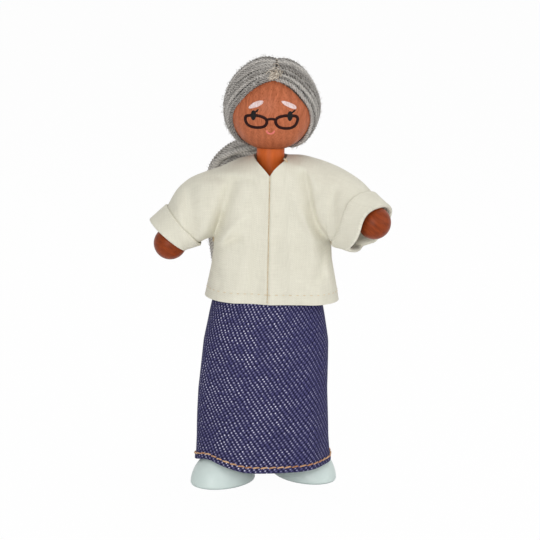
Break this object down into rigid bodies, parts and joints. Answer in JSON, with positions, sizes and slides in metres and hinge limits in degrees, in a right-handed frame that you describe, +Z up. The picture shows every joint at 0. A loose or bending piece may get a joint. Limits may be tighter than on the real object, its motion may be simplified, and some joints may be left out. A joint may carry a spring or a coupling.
{
  "type": "wooden miniature doll",
  "caption": "Small wooden doll with turned head, hands and shoes, yarn hair, cotton blouse and denim skirt, on bendable cord limbs.",
  "frame": {"origin": "on the floor under the middle of the whole doll's box", "axes": "+Z up; the doll faces -Y; +X towards its left hand"},
  "size_m": [0.072, 0.0388, 0.1294],
  "materials": {
    "head_wood": "satin stained and lacquered",
    "neck_wood": "satin stained and lacquered",
    "hand_wood": "satin stained and lacquered",
    "body_wood": "sanded, bare",
    "shoe_paint": "satin paint on wood",
    "yarn": "plied yarn, matt",
    "cream_cotton": "plain weave cotton, matt",
    "denim": "twill denim, matt",
    "cotton_cord": "braided cotton, matt",
    "steel_wire": "drawn wire",
    "elastic": "woven elastic, matt"
  },
  "bodies": {
    "torso": {"torso_block": "body_wood", "neck_peg": "neck_wood", "arm_wire": "steel_wire", "right_shoulder_cord": "cotton_cord", "left_shoulder_cord": "cotton_cord", "right_hip_cord": "cotton_cord", "left_hip_cord": "cotton_cord", "right_hip_wire": "steel_wire", "left_hip_wire": "steel_wire", "waist_elastic": "elastic", "blouse_front_right": "cream_cotton", "blouse_front_left": "cream_cotton", "blouse_back": "cream_cotton", "skirt": "denim"},
    "head": {"head_ball": "head_wood", "hair_right_side": "yarn", "hair_left_side": "yarn", "hair_tie": "yarn", "ponytail": "yarn"},
    "upper_arm_right": {"right_upper_arm_cord": "cotton_cord", "right_upper_arm_wire": "steel_wire", "right_sleeve": "cream_cotton"},
    "forearm_right": {"right_forearm_cord": "cotton_cord", "right_forearm_wire": "steel_wire", "right_hand": "hand_wood", "right_cuff": "cream_cotton"},
    "thigh_right": {"right_thigh_cord": "cotton_cord", "right_thigh_wire": "steel_wire"},
    "shin_right": {"right_shin_cord": "cotton_cord", "right_shin_wire": "steel_wire"},
    "foot_right": {"right_shoe": "shoe_paint", "right_ankle_cord": "cotton_cord", "right_ankle_wire": "steel_wire"},
    "upper_arm_left": {"left_upper_arm_cord": "cotton_cord", "left_upper_arm_wire": "steel_wire", "left_sleeve": "cream_cotton"},
    "forearm_left": {"left_forearm_cord": "cotton_cord", "left_forearm_wire": "steel_wire", "left_hand": "hand_wood", "left_cuff": "cream_cotton"},
    "thigh_left": {"left_thigh_cord": "cotton_cord", "left_thigh_wire": "steel_wire"},
    "shin_left": {"left_shin_cord": "cotton_cord", "left_shin_wire": "steel_wire"},
    "foot_left": {"left_shoe": "shoe_paint", "left_ankle_cord": "cotton_cord", "left_ankle_wire": "steel_wire"}
  },
  "joints": [
    {"name": "neck_turn", "type": "hinge", "parent": "torso", "child": "head", "pos_m": [-0.00027, -0.00331, 0.102], "axis": [0, 0, 1], "range_deg": [-60, 60], "deforming": ["ponytail"]},
    {"name": "shoulder_right", "type": "hinge", "parent": "torso", "child": "upper_arm_right", "pos_m": [-0.01477, -0.00331, 0.0863], "axis": [0, 1, 0], "range_deg": [-6, 70], "deforming": ["right_sleeve"]},
    {"name": "elbow_right", "type": "hinge", "parent": "upper_arm_right", "child": "forearm_right", "pos_m": [-0.02213, -0.00331, 0.08205], "axis": [-0.7547, 0, 0.6561], "range_deg": [-20, 50], "deforming": ["right_sleeve"]},
    {"name": "shoulder_left", "type": "hinge", "parent": "torso", "child": "upper_arm_left", "pos_m": [0.01423, -0.00331, 0.0863], "axis": [-0.4695, -0.8829, 0], "range_deg": [-16, 55], "deforming": ["left_sleeve"]},
    {"name": "elbow_left", "type": "hinge", "parent": "upper_arm_left", "child": "forearm_left", "pos_m": [0.02172, -0.0073, 0.08578], "axis": [-0.5148, 0, -0.8573], "range_deg": [-30, 35], "deforming": ["left_sleeve"]},
    {"name": "hip_right", "type": "hinge", "parent": "torso", "child": "thigh_right", "pos_m": [-0.00677, -0.00331, 0.046], "axis": [-1, 0, 0], "range_deg": [-15, 70], "deforming": ["skirt"]},
    {"name": "knee_right", "type": "hinge", "parent": "thigh_right", "child": "shin_right", "pos_m": [-0.00957, -0.00331, 0.027], "axis": [1, 0, 0], "range_deg": [0, 60], "deforming": ["skirt"]},
    {"name": "ankle_right", "type": "hinge", "parent": "shin_right", "child": "foot_right", "pos_m": [-0.01267, -0.00721, 0.0115], "axis": [-1, 0, 0], "range_deg": [-15, 15], "deforming": ["skirt"]},
    {"name": "hip_left", "type": "hinge", "parent": "torso", "child": "thigh_left", "pos_m": [0.00623, -0.00331, 0.046], "axis": [-1, 0, 0], "range_deg": [-15, 70], "deforming": ["skirt"]},
    {"name": "knee_left", "type": "hinge", "parent": "thigh_left", "child": "shin_left", "pos_m": [0.00903, -0.00331, 0.027], "axis": [1, 0, 0], "range_deg": [0, 60], "deforming": ["skirt"]},
    {"name": "ankle_left", "type": "hinge", "parent": "shin_left", "child": "foot_left", "pos_m": [0.01213, 0.00059, 0.0115], "axis": [-1, 0, 0], "range_deg": [-15, 15], "deforming": ["skirt"]}
  ],
  "couplings": [
    {"joint": "hip_left", "follows": "hip_right", "ratio": 1},
    {"joint": "knee_left", "follows": "knee_right", "ratio": 1}
  ]
}
